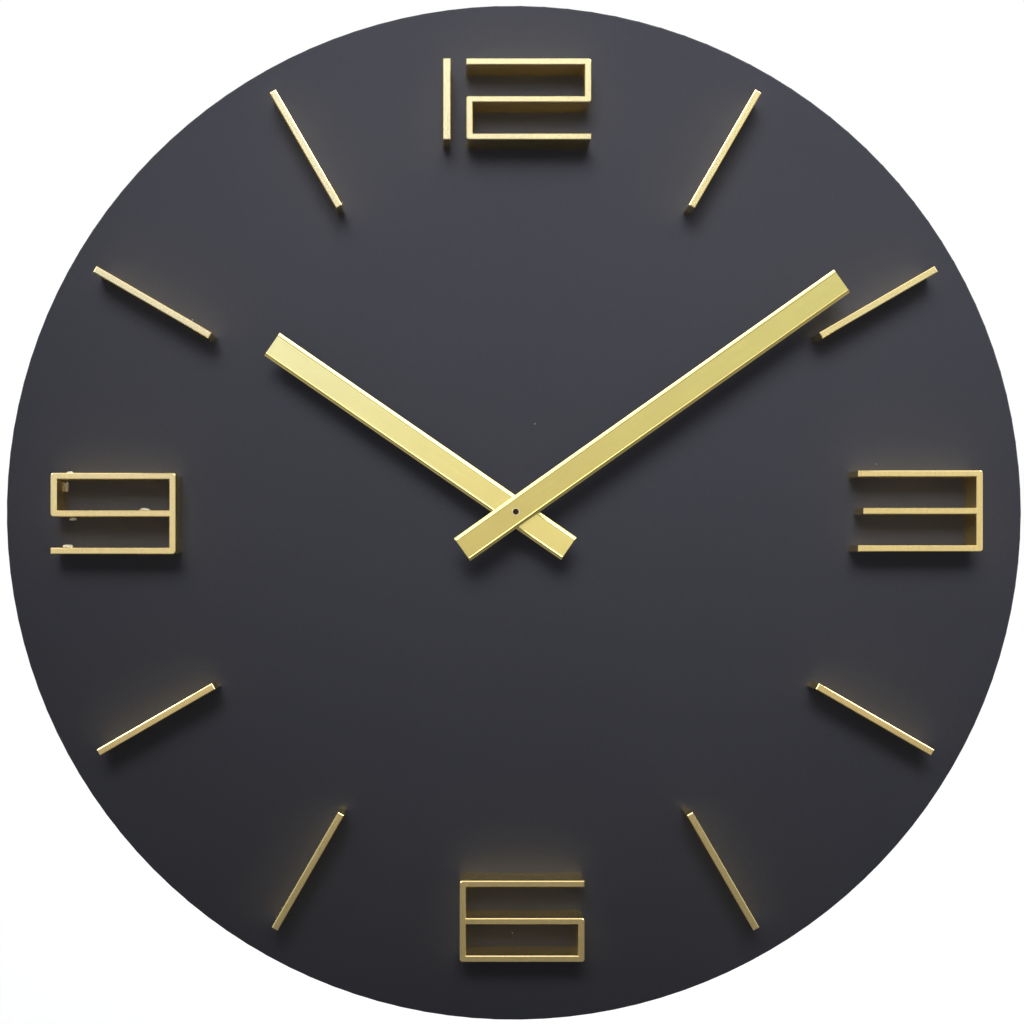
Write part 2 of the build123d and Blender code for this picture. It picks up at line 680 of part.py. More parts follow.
def hook():
    """A tongue with a catch at its end, drawn inside the top wall."""
    half = HOOK_WIDTH / 2
    inside = CASE_INSIDE - 0.1
    tongue = block(-half, inside - HOOK_SHEET, half, inside, COVER_THICKNESS, HOOK_LENGTH)
    back, front = WINDOW_DEPTHS[0] + CATCH_CLEARANCE, WINDOW_DEPTHS[1] - CATCH_CLEARANCE
    catch = Polygon((-back, inside), (-back, inside + HOOK_CATCH), (-front, inside), align=None)
    side = Plane(origin=(-half, 0, 0), x_dir=(0, 1, 0), z_dir=(1, 0, 0))
    return tongue + extrude(side * catch, amount=HOOK_WIDTH)


def pivot_boss(front, pivot_radius, centre):
    """A boss on the rear cover, with a blind hole for a wheel's rear pivot."""
    boss = rod(BOSS_RADIUS, COVER_THICKNESS, front, centre)
    return boss - rod(pivot_radius + PIVOT_CLEARANCE, front - 1.4, front, centre)


def sign_mark(x, z, is_plus):
    """A raised plus or minus beside the battery bay."""
    mark = rectangle(x - 1.4, z - 0.3, x + 1.4, z + 0.3)
    if is_plus:
        mark += rectangle(x - 0.3, z - 1.4, x + 0.3, z + 1.4)
    return mark


def rear_cover():
    cover = slab(case_outline(), 0, COVER_THICKNESS)
    cover = chamfer(cover.faces().sort_by(Axis.Y)[-1].edges(), 0.4)
    cover -= block(-CASE_INSIDE + 0.6, BAY_BOTTOM, CASE_INSIDE - 0.3, BAY_TOP, -1, COVER_THICKNESS + 1)
    cover += rod(CUP_RADIUS + 0.6, COVER_THICKNESS, CUP_FLOOR_DEPTHS[1], SETTING_AXIS)
    cover -= rod(CUP_RADIUS, -1, CUP_FLOOR_DEPTHS[0], SETTING_AXIS)
    cover -= rod(SETTING_SHAFT_RADIUS + RUNNING, 0, CASE_DEPTH, SETTING_AXIS)
    cover += pivot_boss(6.2, PIVOT_RADIUS, THIRD_AXIS)
    cover += pivot_boss(3.7, PIVOT_RADIUS, HANDS_AXIS)
    cover += pivot_boss(3.7, PIVOT_RADIUS, INTERMEDIATE_AXIS)
    cover += pivot_boss(3.4, ROTOR_PIVOT_RADIUS, ROTOR_AXIS)
    for angle, offset in HOOK_PLACES:
        cover += at_hook(hook(), angle, offset)
    marks = sign_mark(-22.0, -8.6, False) + sign_mark(22.8, -8.6, True)
    return cover - slab(marks, -1, 0.3)


def middle_plate():
    outline = rectangle(*PLATE_EDGES)
    outline -= disc(MINUTE_TUBE_REAR_RADIUS + RUNNING)
    outline -= disc(PIVOT_RADIUS + PIVOT_CLEARANCE, THIRD_AXIS)
    outline -= disc(PIVOT_RADIUS + PIVOT_CLEARANCE, INTERMEDIATE_AXIS)
    outline -= disc(ROTOR_PIVOT_RADIUS + PIVOT_CLEARANCE, ROTOR_AXIS)
    outline -= disc(SETTING_SHAFT_RADIUS + RUNNING, SETTING_AXIS)
    outline -= rectangle(PLATE_EDGES[0], 9.6, -5.0, PLATE_EDGES[3])
    return slab(outline, *PLATE_DEPTHS)


# --- fixing stack ---------------------------------------------------------------------------------


def threaded_bush():
    bush = ring(BUSH_RADIUS, HOUR_TUBE_RADIUS + RUNNING, FLOOR, BUSH_FRONT)
    turns = int((BUSH_FRONT - CASE_DEPTH) / THREAD_PITCH)
    groove_section = Polygon((0, -0.3), (0, 0.3), (-THREAD_DEPTH, 0), align=None)
    for turn in range(turns):
        depth = BUSH_FRONT - (turn + 0.7) * THREAD_PITCH
        section = Plane(origin=(BUSH_RADIUS, -depth, 0)) * groove_section
        bush -= revolve(section, Axis.Y, 360)
    return bush


def hanger():
    """Steel sheet under the dial, bent back over the case and up to the opening for the nail."""
    half = 10.0
    shelf_bottom = CASE_SIZE / 2 + 0.2
    shelf_top = shelf_bottom + HANGER_SHEET
    tab_back, tab_front = 2.0, 2.0 + HANGER_SHEET
    plate_front = CASE_DEPTH + HANGER_SHEET
    sheet = slab(disc(half) + rectangle(-half, 0, half, shelf_top), CASE_DEPTH, plate_front)
    sheet += block(-half, shelf_bottom, half, shelf_top, tab_back, plate_front)
    tab = rectangle(-half, shelf_bottom, half, 38.0) + disc(half, (0, 38.0))
    sheet += slab(tab, tab_back, tab_front)
    opening = Polygon((-6.5, 33.0), (6.5, 33.0), (2.2, 44.0), (-2.2, 44.0), align=None)
    opening = fillet(opening.vertices(), 1.8)
    sheet -= slab(opening, tab_back - 1, tab_front + 1)
    return sheet - rod(STACK_HOLE, CASE_DEPTH - 1, plate_front + 1)


def rubber_washer():
    return ring(9.0, STACK_HOLE, CASE_DEPTH + HANGER_SHEET, DIAL_BACK)


def brass_washer():
    return ring(WASHER_RADIUS, STACK_HOLE, DIAL_FRONT, DIAL_FRONT + WASHER_THICKNESS)


def hex_nut():
    back = DIAL_FRONT + WASHER_THICKNESS
    front = back + NUT_THICKNESS
    prism = slab(RegularPolygon(NUT_ACROSS_FLATS / 2, 6, major_radius=False), back, front)
    turned_blank = rod(NUT_ACROSS_FLATS / 2 + 0.5, back, front)
    turned_blank = chamfer(front_face(turned_blank).edges(), 0.7)
    return (prism & turned_blank) - rod(BUSH_RADIUS, back - 1, front + 1)


# --- battery --------------------------------------------------------------------------------------


def along_cell(radius, start, end):
    place = Plane(origin=(start, -CELL_DEPTH, CELL_Z), x_dir=(0, 1, 0), z_dir=(1, 0, 0))
    return extrude(place * Circle(radius), amount=end - start)


def battery_cell():
    cell = along_cell(CELL_RADIUS, -CELL_LENGTH / 2, CELL_LENGTH / 2)
    return fillet(cell.edges(), 0.7)


def battery_cap():
    start = CELL_LENGTH / 2
    nub = along_cell(CELL_NUB_RADIUS, start, start + CELL_NUB_LENGTH)
    return fillet(nub.edges().group_by(Axis.X)[-1], 0.5)


CONTACT_SHEET = 0.4
CONTACT_FACE = CASE_INSIDE - 0.2 - CONTACT_SHEET


def contact_leaf(top):
    """A sheet metal contact standing in the right-hand end of the battery bay."""
    half_width = 3.5
    return block(
        CONTACT_FACE,
        CELL_Z - 5.6,
        CONTACT_FACE + CONTACT_SHEET,
        top,
        CELL_DEPTH - half_width,
        CELL_DEPTH + half_width,
    )


def battery_contact_positive():
    return contact_leaf(CELL_Z + 5.6)


def battery_contact_negative():
    """The left-hand contact, with a bow towards the cell and a tail up to the circuit board."""
    bow = CONTACT_FACE - CELL_LENGTH / 2 - 0.2
    foot = Plane(origin=(CONTACT_FACE, -CELL_DEPTH, CELL_Z), x_dir=(0, 1, 0), z_dir=(-1, 0, 0))
    leaf = contact_leaf(12.0) + extrude(foot * Circle(2.6), amount=bow, taper=25)
    return leaf.mirror(Plane.YZ)


# --- writing --------------------------------------------------------------------------------------

NODES = {
    "dial_board": dial_board(),
    "numeral_12_one": numeral_one(),
    "numeral_12_two": numeral(
        TWO_CENTRE,
        ("top", "upper_right", "middle", "lower_left", "bottom"),
        ("top_left", "bottom_right"),
    ),
    "numeral_3": numeral(
        THREE_CENTRE,
        ("top", "middle", "bottom", "right"),
        ("top_left", "middle_left", "bottom_left"),
        THREE_MIDDLE_INSET,
    ),
    "numeral_6": numeral(
        SIX_CENTRE,
        ("top", "left", "middle", "lower_right", "bottom"),
        ("top_right",),
    ),
    "numeral_9": numeral(
        NINE_CENTRE,
        ("top", "upper_left", "middle", "right", "bottom"),
        ("bottom_left",),
    ),
    "glue_beads": glue_beads(),
    "minute_hand": minute_hand(),
    "hour_hand": hour_hand(),
    "minute_collet": minute_collet(),
    "hour_collet": hour_collet(),
    "minute_arbor": minute_arbor(),
    "clutch_spring": clutch_spring(),
    "hour_wheel": hour_wheel(),
    "motion_wheel": motion_wheel(),
    "setting_shaft": setting_shaft(),
    "setting_knob": setting_knob(),
    "centre_wheel": centre_wheel(),
    "third_wheel": third_wheel(),
    "seconds_arbor": seconds_arbor(),
    "seconds_wheel": seconds_wheel(),
    "intermediate_wheel": intermediate_wheel(),
    "rotor_pinion": rotor_pinion(),
    "rotor_magnet": rotor_magnet(),
    "stator_plate": stator_plate(),
    "coil_bobbin": coil_bobbin(),
    "coil_winding": coil_winding(),
    "circuit_board": circuit_board(),
    "chip_blob": chip_blob(),
    "quartz_crystal": quartz_crystal(),
    "front_case": front_case(),
    "rear_cover": rear_cover(),
    "middle_plate": middle_plate(),
    "threaded_bush": threaded_bush(),
    "hanger": hanger(),
    "rubber_washer": rubber_washer(),
    "brass_washer": brass_washer(),
    "hex_nut": hex_nut(),
    "battery_cell": battery_cell(),
    "battery_cap": battery_cap(),
    "battery_contact_positive": battery_contact_positive(),
    "battery_contact_negative": battery_contact_negative(),
}
for hour in UPPER_HOURS + LOWER_HOURS:
    NODES[f"hour_bar_{hour}"] = hour_bar(hour)

os.makedirs("parts", exist_ok=True)
for name, solid in NODES.items():
    export_step(solid, f"parts/{name}.step")
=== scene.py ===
import json
from math import pi, radians

import bmesh
import bpy
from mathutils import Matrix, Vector, noise

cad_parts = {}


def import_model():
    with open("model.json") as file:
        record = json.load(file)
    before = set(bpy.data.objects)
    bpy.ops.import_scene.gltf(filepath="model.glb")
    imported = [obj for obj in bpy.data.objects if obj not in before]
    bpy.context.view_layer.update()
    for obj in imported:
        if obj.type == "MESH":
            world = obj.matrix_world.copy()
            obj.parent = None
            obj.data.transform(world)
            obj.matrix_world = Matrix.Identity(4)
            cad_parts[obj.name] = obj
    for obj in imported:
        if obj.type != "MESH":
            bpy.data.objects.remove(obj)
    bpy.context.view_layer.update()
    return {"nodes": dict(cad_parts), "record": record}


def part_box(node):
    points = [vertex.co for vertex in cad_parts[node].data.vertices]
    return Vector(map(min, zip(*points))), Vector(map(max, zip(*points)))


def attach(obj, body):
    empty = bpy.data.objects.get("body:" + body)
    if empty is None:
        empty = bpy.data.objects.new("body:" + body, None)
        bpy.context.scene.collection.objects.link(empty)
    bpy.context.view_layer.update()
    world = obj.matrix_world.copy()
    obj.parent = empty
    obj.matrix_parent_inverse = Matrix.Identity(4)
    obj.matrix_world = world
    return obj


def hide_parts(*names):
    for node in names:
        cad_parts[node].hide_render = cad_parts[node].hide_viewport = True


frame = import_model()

# Everything is in metres, in the clock's own frame: the dial faces -Y, +Z is up towards 12.

HOURS_WITH_BARS = (1, 2, 4, 5, 7, 8, 10, 11)
HOUR_STEP = 30.0

# The hands stand at this many minutes past ten. Their angles are clockwise from 12, in degrees.
MINUTES = 9.12
MINUTE_ANGLE = MINUTES * 6.0
HOUR_ANGLE = 10 * HOUR_STEP + MINUTES / 2.0

DIAL_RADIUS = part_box("dial_board")[1].x
DIAL_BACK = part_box("dial_board")[1].y

# Just over the radius of the mouth in the front end of the minute hand's tube, inside which the brass
# is painted dark as shade
MOUTH_RADIUS = 0.00141

# The hands are one gold in two copies: darker on the minute hand as painted shade and lighter on the
# hour hand as painted light, only so that each has the tone it has in the photo.
GOLD = (0.86, 0.67, 0.30)
MINUTE_HAND_SHADED_GOLD = (0.72, 0.585, 0.200)
HOUR_HAND_LIT_GOLD = (0.93, 0.770, 0.285)

FLOOR_SIZE = 12.0
FLOOR_DROP = 1.2
FLOOR_GLOW = 0.75

# The key and fill lamps stand at the same place. The fill casts no shadow, so it lightens the key's.
KEY_POWER = 4.25
FILL_POWER = 1.35
LAMP_SIZE = (0.77, 0.84)
LAMP_SPREAD = 54.0
LAMP_COLOUR = (0.90, 0.94, 1.0)
LAMP_PLACE = (0.0, -0.594, 0.714)
LAMP_TARGET = (0.08, 0.0, 0.38)

CAMERA_PLACE = (-0.0332, -0.651, -0.0176)
CAMERA_LENS = 44.75
CAMERA_SHIFT = (0.064, 0.0356)


# --- node helpers ----------------------------------------------------------------------------------


def add_node(tree, kind, inputs=None, **settings):
    """A node in a tree, with each of its inputs linked from a socket or set to a value."""
    made = tree.nodes.new(kind)
    for name, value in settings.items():
        setattr(made, name, value)
    for socket, value in (inputs or {}).items():
        if isinstance(value, bpy.types.NodeSocket):
            tree.links.new(value, made.inputs[socket])
        else:
            made.inputs[socket].default_value = value
    return made


class Finish:
    """A procedural material being put together: its Principled shader and the nodes that feed it."""

    def __init__(self, name, roughness=0.5, metallic=0.0, **constants):
        self.material = bpy.data.materials.new(name)
        self.material.use_nodes = True
        self.tree = self.material.node_tree
        self.shader = self.tree.nodes["Principled BSDF"]
        self.shader.inputs["Roughness"].default_value = roughness
        self.shader.inputs["Metallic"].default_value = metallic
        for socket, value in constants.items():
            self.shader.inputs[socket.replace("_", " ")].default_value = value
        self.place = self.node("ShaderNodeTexCoord").outputs["Object"]

    def node(self, kind, inputs=None, **settings):
        return add_node(self.tree, kind, inputs, **settings)

    def link(self, socket, output):
        self.tree.links.new(output, self.shader.inputs[socket])

    def stretched(self, scale, turn=0.0):
        """The object's coordinates, turned clockwise by an angle in degrees and then scaled."""
        rotation = (0, -radians(turn), 0)
        turned = self.node("ShaderNodeMapping", {"Vector": self.place, "Rotation": rotation})
        return self.node("ShaderNodeMapping", {"Vector": turned.outputs[0], "Scale": scale}).outputs[0]

    def noise(self, scale, detail=4.0, roughness=0.55, place=None):
        where = self.place if place is None else place
        inputs = {"Vector": where, "Scale": scale, "Detail": detail, "Roughness": roughness}
        return self.node("ShaderNodeTexNoise", inputs).outputs["Fac"]

    def math(self, operation, a, b=0.0, clamp=False):
        made = self.node("ShaderNodeMath", {0: a, 1: b}, operation=operation, use_clamp=clamp)
        return made.outputs[0]

    def between(self, value, low, high, to_low=0.0, to_high=1.0):
        """value, read from the range low..high and carried smoothly to to_low..to_high.

        Map Range's sockets 1 and 2 are the range read, and 3 and 4 the range given.
        """
        inputs = {"Value": value, 1: low, 2: high, 3: to_low, 4: to_high}
        return self.node("ShaderNodeMapRange", inputs, interpolation_type="SMOOTHSTEP").outputs[0]

    def mix(self, share, a, b):
        """Colour a where share is 0 and colour b where it is 1."""
        made = self.node("ShaderNodeMix", {"Factor": share}, data_type="RGBA")
        for socket, value in (("A", a), ("B", b)):
            target = [s for s in made.inputs if s.name == socket and s.type == "RGBA"][0]
            if isinstance(value, bpy.types.NodeSocket):
                self.tree.links.new(value, target)
            else:
                target.default_value = (*value, 1.0)
        return [s for s in made.outputs if s.type == "RGBA"][0]

    def relief(self, height, depth, strength=1.0):
        """Bump from a height from 0 to 1, over a depth in metres."""
        inputs = {"Height": height, "Distance": depth, "Strength": strength}
        self.link("Normal", self.node("ShaderNodeBump", inputs).outputs[0])

    def axis(self, name):
        return self.node("ShaderNodeSeparateXYZ", {0: self.place}).outputs[name]

    def from_hands_axis(self):
        """How far a point is from the axis that the hands turn on."""
        x_squared = self.math("POWER", self.axis("X"), 2.0)
        z_squared = self.math("POWER", self.axis("Z"), 2.0)
        return self.math("SQRT", self.math("ADD", x_squared, z_squared))


def shade(colour, factor):
    return tuple(c * factor for c in colour)


def grained(name, colour, roughness, mottle=0.12, mottle_scale=60.0, grain_scale=2500.0,
            grain_depth=2e-5, metallic=0.0, **constants):
    """A plain finish with a little cloudiness in its colour, an uneven sheen and a fine grain."""
    made = Finish(name, roughness, metallic, **constants)
    clouds = made.noise(mottle_scale)
    made.link("Base Color", made.mix(clouds, shade(colour, 1 - mottle), shade(colour, 1 + mottle)))
    grain = made.noise(grain_scale, detail=2.0)
    made.link("Roughness", made.between(grain, 0.3, 0.7, roughness * 0.88, min(1.0, roughness * 1.12)))
    made.relief(grain, grain_depth)
    return made


# --- finishes of the dial, the numerals and the hands ----------------------------------------------


def dial_finish():
    """Fibreboard, sprayed matt charcoal on its face and edge, with overspray round its bare back."""
    made = Finish("charcoal dial", 0.7, IOR=1.45, Specular_IOR_Level=0.06)
    clouds = made.noise(9.0, detail=6.0)
    paint = made.mix(clouds, (0.0275, 0.0270, 0.0310), (0.0325, 0.0320, 0.0372))
    grain = made.noise(1900.0, detail=3.0)
    paint = made.mix(made.between(grain, 0.35, 0.75, 0.0, 0.35), paint, (0.045, 0.045, 0.050))

    # A few faint specks, at random
    cells = made.node("ShaderNodeTexVoronoi", {"Vector": made.place, "Scale": 95.0})
    near = made.between(cells.outputs["Distance"], 0.02, 0.045, 1.0, 0.0)
    chosen = made.node("ShaderNodeSeparateColor", {0: cells.outputs["Color"]}).outputs[0]
    specks = made.math("MULTIPLY", near, made.math("GREATER_THAN", chosen, 0.93))
    paint = made.mix(made.math("MULTIPLY", specks, 0.35), paint, (0.55, 0.54, 0.5))

    fibres = made.noise(1.0, detail=8.0, place=made.stretched((900, 900, 420)))
    board = made.mix(made.between(fibres, 0.3, 0.7), (0.27, 0.175, 0.105), (0.38, 0.260, 0.165))
    blotches = made.noise(26.0, detail=5.0)
    board = made.mix(made.math("MULTIPLY", blotches, 0.35), board, (0.30, 0.20, 0.12))

    back = made.between(made.axis("Y"), DIAL_BACK - 0.0004, DIAL_BACK - 0.0001)
    wander = made.math("MULTIPLY", made.noise(38.0, detail=5.0), 0.010)
    ragged = made.math("ADD", made.from_hands_axis(), wander)
    overspray = made.between(ragged, DIAL_RADIUS - 0.012, DIAL_RADIUS + 0.004)
    bare = made.math("SUBTRACT", back, made.math("MULTIPLY", back, overspray), clamp=True)
    made.link("Base Color", made.mix(bare, paint, board))
    made.link("Roughness", made.between(grain, 0.3, 0.7, 0.66, 0.80))
    made.relief(grain, 4e-5, 0.7)
    return made.material


def brushed_gold(name, turn):
    """Gold anodised bar, drawn along its length, which lies at a clock angle."""
    made = Finish(name, 0.22, 0.93)
    along = made.noise(1.0, detail=3.0, place=made.stretched((2600, 3400, 55), turn))
    sand = made.noise(2100.0, detail=2.0)
    clouds = made.noise(45.0, detail=4.0)
    tint = made.mix(clouds, shade(GOLD, 0.93), shade(GOLD, 1.04))
    scratched = made.between(along, 0.35, 0.7, 0.0, 0.45)
    made.link("Base Color", made.mix(scratched, tint, shade(GOLD, 0.80)))
    made.link("Roughness", made.between(sand, 0.3, 0.7, 0.17, 0.26))
    height = made.math("ADD", made.math("MULTIPLY", along, 0.7), made.math("MULTIPLY", sand, 0.3))
    made.relief(height, 1.2e-5, 0.6)
    return made.material


def hand_finish(name, turn, colour):
    """Satin gold sheet with a faint brushing along the hand."""
    made = Finish(name, 0.22, 0.95)
    along = made.noise(1.0, detail=3.0, place=made.stretched((1500, 1500, 40), turn))
    clouds = made.noise(60.0, detail=5.0)
    tint = made.mix(clouds, shade(colour, 0.94), shade(colour, 1.05))
    scratched = made.between(along, 0.4, 0.75, 0.0, 0.25)
    made.link("Base Color", made.mix(scratched, tint, shade(colour, 0.86)))
    sand = made.noise(1700.0, detail=3.0)
    made.link("Roughness", made.between(sand, 0.3, 0.7, 0.18, 0.25))
    made.relief(sand, 6e-6, 0.5)
    return made.material


def glue_finish():
    """Dried clear glue, a little cloudy and yellow."""
    made = Finish("dried glue", 0.16, Transmission_Weight=0.75, IOR=1.48)
    clouds = made.noise(700.0)
    made.link("Base Color", made.mix(clouds, (0.80, 0.72, 0.52), (0.93, 0.90, 0.80)))
    made.relief(made.noise(900.0), 1e-4, 0.5)
    return made.material


# --- finishes of the movement ----------------------------------------------------------------------


def case_finish():
    """Black moulded plastic with the fine pitted texture of a spark-eroded mould."""
    made = grained("case plastic", (0.020, 0.020, 0.021), 0.45, mottle_scale=25.0)
    cells = made.node("ShaderNodeTexVoronoi", {"Vector": made.place, "Scale": 1500.0})
    made.relief(cells.outputs["Distance"], 6e-5, 0.6)
    return made.material


def turned_brass():
    """Brass with the fine rings that turning leaves."""
    made = Finish("turned brass", 0.22, 1.0)
    rings = made.noise(1.0, place=made.stretched((30, 9000, 30)))
    made.link("Base Color", made.mix(rings, (0.72, 0.52, 0.23), (0.88, 0.68, 0.34)))
    made.link("Roughness", made.between(rings, 0.3, 0.7, 0.16, 0.3))
    made.relief(rings, 1e-5, 0.5)
    return made.material


def minute_arbor_brass():
    """Turned brass, near black inside the mouth of the tube that the seconds arbor runs in: painted
    shade.
    """
    made = Finish("minute arbor brass", 0.3, 1.0)
    rings = made.noise(1.0, place=made.stretched((30, 9000, 30)))
    bright = made.mix(rings, (0.78, 0.62, 0.36), (0.94, 0.80, 0.52))
    outside = made.math("GREATER_THAN", made.from_hands_axis(), MOUTH_RADIUS)
    # Painted shade: inside the mouth the brass is near black.
    made.link("Base Color", made.mix(outside, (0.055, 0.036, 0.018), bright))
    made.relief(rings, 1e-5, 0.5)
    return made.material


def drawn_metal(name, colour, roughness, stretch=(900, 900, 60)):
    """Rolled or drawn bright metal, with its marks along Z."""
    made = Finish(name, roughness, 1.0)
    marks = made.noise(1.0, detail=3.0, place=made.stretched(stretch))
    made.link("Base Color", made.mix(marks, shade(colour, 0.85), shade(colour, 1.08)))
    made.link("Roughness", made.between(marks, 0.3, 0.7, roughness * 0.8, roughness * 1.25))
    made.relief(marks, 8e-6, 0.5)
    return made.material


def zinc_plate():
    """Zinc plated sheet steel with a faint spangle."""
    made = Finish("zinc plate", 0.36, 1.0)
    cells = made.node("ShaderNodeTexVoronoi", {"Vector": made.place, "Scale": 420.0})
    spangle = made.node("ShaderNodeSeparateColor", {0: cells.outputs["Color"]}).outputs[0]
    made.link("Base Color", made.mix(spangle, (0.52, 0.53, 0.53), (0.72, 0.73, 0.74)))
    made.link("Roughness", made.between(spangle, 0.0, 1.0, 0.3, 0.44))
    made.relief(made.noise(1200.0), 1e-5, 0.5)
    return made.material


def copper_finish():
    """Enamelled copper wire, wound turn beside turn, painted darker in the grooves between turns as
    shade.
    """
    made = Finish("copper winding", 0.3, 1.0, Coat_Weight=0.6)
    inputs = {"Vector": made.place, "Scale": 1600.0, "Distortion": 0.6}
    turns_and_groove_shade = made.node("ShaderNodeTexWave", inputs, bands_direction="X").outputs["Fac"]
    # Painted shade: the copper is darker in the grooves between turns.
    made.link("Base Color", made.mix(turns_and_groove_shade, (0.42, 0.13, 0.05), (0.80, 0.34, 0.15)))
    made.relief(turns_and_groove_shade, 5e-5)
    return made.material


def board_finish():
    """Green circuit board with pale tracks under its lacquer."""
    made = Finish("circuit board", 0.28, Coat_Weight=0.5)
    tracks = made.node("ShaderNodeTexBrick", {
        "Vector": made.place,
        "Scale": 190.0,
        "Mortar Size": 0.06,
        "Color1": (0.010, 0.085, 0.035, 1),
        "Color2": (0.014, 0.11, 0.045, 1),
        "Mortar": (0.06, 0.24, 0.10, 1),
    })
    made.link("Base Color", tracks.outputs["Color"])
    made.relief(made.noise(1500.0), 1e-5, 0.4)
    return made.material


def battery_finish():
    """Printed sleeve of a plain cell lying along X: dark, with a silver band at its positive end."""
    made = Finish("battery sleeve", 0.3, 0.35, Coat_Weight=0.4)
    low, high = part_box("battery_cell")
    start, end = low.x, high.x
    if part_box("battery_cap")[0].x < (start + end) / 2:
        start, end = end, start
    band = made.math("GREATER_THAN", made.between(made.axis("X"), start, end), 0.83)
    scuffs = made.between(made.noise(220.0, detail=6.0), 0.62, 0.75)
    dark = made.mix(scuffs, (0.030, 0.036, 0.046), (0.09, 0.10, 0.11))
    made.link("Base Color", made.mix(band, dark, (0.52, 0.53, 0.54)))
    made.relief(made.noise(1300.0), 1e-5, 0.4)
    return made.material


def finishes():
    """One material for each of the record's slots that isn't made piece by piece."""
    return {
        "dial_charcoal": dial_finish(),
        "gold_strip": brushed_gold("brushed gold upright", 0.0),
        "clear_glue": glue_finish(),
        "brass_turned": turned_brass(),
        "spring_steel": drawn_metal("nickel spring", (0.66, 0.64, 0.60), 0.26),
        "white_acetal": grained("acetal", (0.78, 0.76, 0.70), 0.38, mottle=0.04,
                                Subsurface_Weight=0.15, Subsurface_Scale=0.001).material,
        "knob_plastic": grained("knob plastic", (0.03, 0.03, 0.032), 0.36).material,
        "arbor_steel": drawn_metal("arbor steel", (0.62, 0.62, 0.63), 0.16, (60, 2200, 60)),
        "magnet_dark": grained("magnet", (0.07, 0.07, 0.075), 0.42, metallic=0.6).material,
        "stator_steel": drawn_metal("stator sheet", (0.50, 0.51, 0.52), 0.3),
        "bobbin_plastic": grained("bobbin plastic", (0.62, 0.58, 0.46), 0.42, mottle=0.05).material,
        "copper_wire": copper_finish(),
        "board_green": board_finish(),
        "chip_epoxy": grained("chip epoxy", (0.012, 0.012, 0.013), 0.25).material,
        "crystal_can": drawn_metal("crystal can", (0.72, 0.72, 0.73), 0.2, (60, 60, 900)),
        "case_plastic": case_finish(),
        "inner_plastic": grained("inner plastic", (0.05, 0.05, 0.052), 0.5).material,
        "hanger_steel": zinc_plate(),
        "washer_rubber": grained("rubber", (0.014, 0.014, 0.014), 0.75, grain_depth=6e-5).material,
        "battery_sleeve": battery_finish(),
        "battery_steel": drawn_metal("nickel cap", (0.70, 0.70, 0.69), 0.2),
    }


def give(node, material):
    mesh = frame["nodes"][node].data
    mesh.materials.clear()
    mesh.materials.append(material)


def dress():
    """Give every CAD node its finish."""
    by_slot = finishes()
    by_node = {}
    for hour in HOURS_WITH_BARS:
        by_node[f"hour_bar_{hour}"] = brushed_gold(f"brushed gold {hour}", HOUR_STEP * hour)
    # Each hand's gold carries painted light: the minute hand's is darker, the hour hand's lighter.
    by_node["minute_hand"] = hand_finish("minute hand shaded gold", MINUTE_ANGLE, MINUTE_HAND_SHADED_GOLD)
    by_node["hour_hand"] = hand_finish("hour hand lit gold", HOUR_ANGLE, HOUR_HAND_LIT_GOLD)
    by_node["minute_arbor"] = minute_arbor_brass()
    # Painted shade: the seconds arbor is steel coloured near black, so that the centre hole reads
    # dark.
    by_node["seconds_arbor"] = drawn_metal(
        "near-black arbor steel", (0.055, 0.045, 0.040), 0.35, (60, 2200, 60))
    for part in frame["record"]["subparts"]:
        node = part["node"]
        give(node, by_node[node] if node in by_node else by_slot[part["material_slot"]])
    return by_slot


# --- dried glue ------------------------------------------------------------------------------------


def islands(mesh):
    """The separate shells of a mesh, each a list of its points, in an order that never changes."""
    work = bmesh.new()
    work.from_mesh(mesh)
    bmesh.ops.remove_doubles(work, verts=work.verts, dist=1e-6)
    unseen = set(work.verts)
    found = []
    while unseen:
        shell = [unseen.pop()]
        for vertex in shell:
            for edge in vertex.link_edges:
                other = edge.other_vert(vertex)
                if other in unseen:
                    unseen.discard(other)
                    shell.append(other)
        found.append([v.co.copy() for v in shell])
    work.free()

    # The walk starts from any vertex, so the order goes by each shell's own extent.
    def extent(points):
        return round(max(p.x for p in points), 4), round(min(p.z for p in points), 4)

    return sorted(found, key=extent)


def glue_lump(work, points, number):
    """A lumpy bead that fills the box around some points, widest where it sits on the dial."""
    low = Vector(min(p[i] for p in points) for i in range(3))
    high = Vector(max(p[i] for p in points) for i in range(3))
    half = (high - low) / 2
    middle = (low + high) / 2
    made = bmesh.ops.create_icosphere(work, subdivisions=4, radius=1.0)
    for vertex in made["verts"]:
        way = vertex.co.normalized()
        swell = 0.86 + 0.26 * noise.noise(way * 1.7 + Vector((number * 3.1, 0, 0)))
        place = Vector(max(-1.0, min(1.0, c * swell * 1.12)) for c in way)
        vertex.co = middle + Vector(place[i] * half[i] for i in range(3))


def dried_glue(material):
    """Squeezed-out beads of glue at the foot of the 9."""
    work = bmesh.new()
    for number, points in enumerate(islands(frame["nodes"]["glue_beads"].data)):
        glue_lump(work, points, number)
    mesh = bpy.data.meshes.new("dried_glue")
    work.to_mesh(mesh)
    work.free()
    for face in mesh.polygons:
        face.use_smooth = True
    mesh.materials.append(material)
    lumps = bpy.data.objects.new("dried_glue", mesh)
    bpy.context.scene.collection.objects.link(lumps)
    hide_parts("glue_beads")
    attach(lumps, "clock_body")


# --- floor, light and camera -----------------------------------------------------------------------


